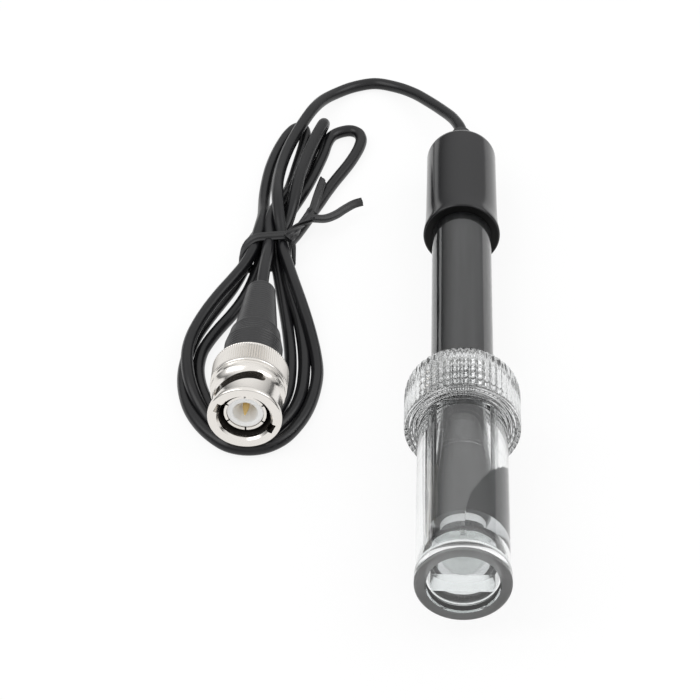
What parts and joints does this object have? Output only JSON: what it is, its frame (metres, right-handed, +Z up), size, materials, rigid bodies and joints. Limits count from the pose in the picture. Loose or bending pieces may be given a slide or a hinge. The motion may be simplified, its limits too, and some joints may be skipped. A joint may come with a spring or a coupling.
{
  "type": "ph electrode",
  "caption": "Combination pH electrode with a smoke-grey body and black cable cap, tip in a clear storage bottle with a ribbed screw nut, and a tied cable that ends in a bayonet plug.",
  "frame": {"origin": "on the surface it lies on, midway along the electrode from the bottle's foot to the end of the cable gland, under its axis", "axes": "+Y from the bottle towards the cable cap, +X to the side away from the cable and plug, +Z up from the surface"},
  "size_m": [0.0674, 0.1663, 0.0224],
  "materials": {
    "smoky_plastic": "clear smoke-grey moulded plastic, glossy",
    "clear_glass": "clear blown glass",
    "solution": "clear liquid",
    "silver_wire": "drawn silver wire",
    "dark_gel": "grey electrolyte gel",
    "black_resin": "cast black resin",
    "white_ceramic": "porous white ceramic",
    "black_sleeve": "shrunk black sleeve over solder",
    "cable_jacket": "black satin cable jacket",
    "black_plastic": "black moulded plastic, glossy",
    "black_rubber": "black rubber, satin",
    "clear_plastic": "clear moulded plastic, glossy",
    "seal_rubber": "translucent grey silicone rubber",
    "white_washer": "white plastic washer",
    "nickel": "bright nickel plate",
    "spring_steel": "spring steel",
    "gasket_rubber": "red-brown silicone rubber",
    "white_insulator": "white moulded insulator",
    "gold": "gold plate, bright",
    "boot_rubber": "black flexible plastic, satin",
    "tie_plastic": "black plastic over wire"
  },
  "bodies": {
    "electrode": {"body_tube": "smoky_plastic", "glass_electrode": "clear_glass", "inner_buffer": "solution", "measuring_wire": "silver_wire", "reference_wire": "silver_wire", "reference_gel": "dark_gel", "tip_seal": "black_resin", "reference_junction": "white_ceramic", "upper_seal": "black_resin", "cap_potting": "black_resin", "core_joint": "black_sleeve", "shield_joint": "black_sleeve", "cable_end_cap": "cable_jacket", "cable_cap": "black_plastic", "cable_gland": "black_rubber", "bnc_retainer": "spring_steel", "bnc_body": "nickel", "bnc_gasket": "gasket_rubber", "bnc_insulator": "white_insulator", "bnc_pin": "gold", "crimp_ferrule": "nickel", "bnc_boot": "boot_rubber", "cable_end_plug": "cable_jacket", "cable_lead": "cable_jacket", "cable_hank": "cable_jacket", "cable_tail": "cable_jacket", "twist_tie": "tie_plastic"},
    "bottle": {"storage_bottle": "clear_plastic", "storage_solution": "solution"},
    "seal": {"bottle_seal": "seal_rubber", "seal_washer": "white_washer"},
    "nut": {"bottle_nut": "clear_plastic"},
    "thrust": {"bnc_spring": "spring_steel"},
    "coupling": {"bnc_coupling": "nickel"}
  },
  "joints": [
    {"name": "bottle_pull", "type": "slide", "parent": "electrode", "child": "bottle", "axis": [0, -0.9988, 0.0483], "range_m": [0, 0.078]},
    {"name": "nut_lift", "type": "slide", "parent": "bottle", "child": "seal", "axis": [0, 0.9988, -0.0483], "range_m": [0, 0.006]},
    {"name": "nut_turn", "type": "hinge", "parent": "seal", "child": "nut", "pos_m": [0, -0.02157, 0.01116], "axis": [0, 0.9988, -0.0483], "range_deg": [0, 1090]},
    {"name": "coupling_push", "type": "slide", "parent": "electrode", "child": "thrust", "axis": [-0.0261, -0.9983, 0.0523], "range_m": [0, 0.0006], "stiffness_N_per_m": 800},
    {"name": "coupling_turn", "type": "hinge", "parent": "thrust", "child": "coupling", "pos_m": [-0.04074, -0.01412, 0.00948], "axis": [-0.0261, -0.9983, 0.0523], "continuous": true}
  ],
  "couplings": [
    {"joint": "nut_turn", "follows": "nut_lift", "rad_per_m": 3141.6}
  ]
}
